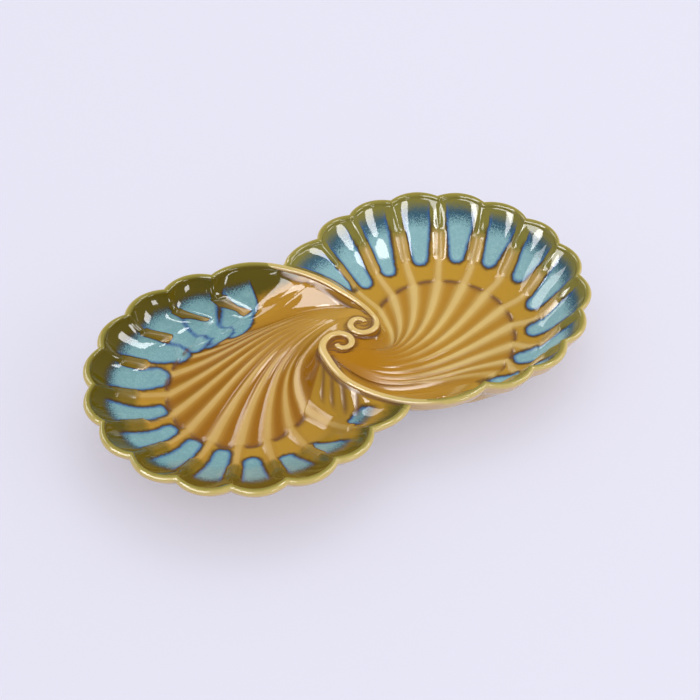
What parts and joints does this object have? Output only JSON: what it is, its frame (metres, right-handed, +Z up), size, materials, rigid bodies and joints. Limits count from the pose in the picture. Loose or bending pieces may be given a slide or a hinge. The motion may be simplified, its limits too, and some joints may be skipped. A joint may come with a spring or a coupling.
{
  "type": "ceramic platter",
  "caption": "Double scallop-shell serving dish in glazed ceramic: shell bowls joined along a swirling seam under raised scrolls, with ribbed floors and lobed rims.",
  "frame": {"origin": "on the table under the middle of the dish, between the two scrolls", "axes": "+X along the length of the dish towards the right shell, +Y to its back edge, +Z up"},
  "size_m": [0.3404, 0.195, 0.04],
  "materials": {
    "glazed_body": "glossy amber, olive and turquoise glaze",
    "glazed_scroll": "glossy pale amber glaze",
    "bare_foot": "unglazed"
  },
  "bodies": {
    "root": {"left_shell": "glazed_body", "right_shell": "glazed_body", "left_scroll": "glazed_scroll", "right_scroll": "glazed_scroll", "left_foot_ring": "bare_foot", "right_foot_ring": "bare_foot"}
  },
  "joints": []
}
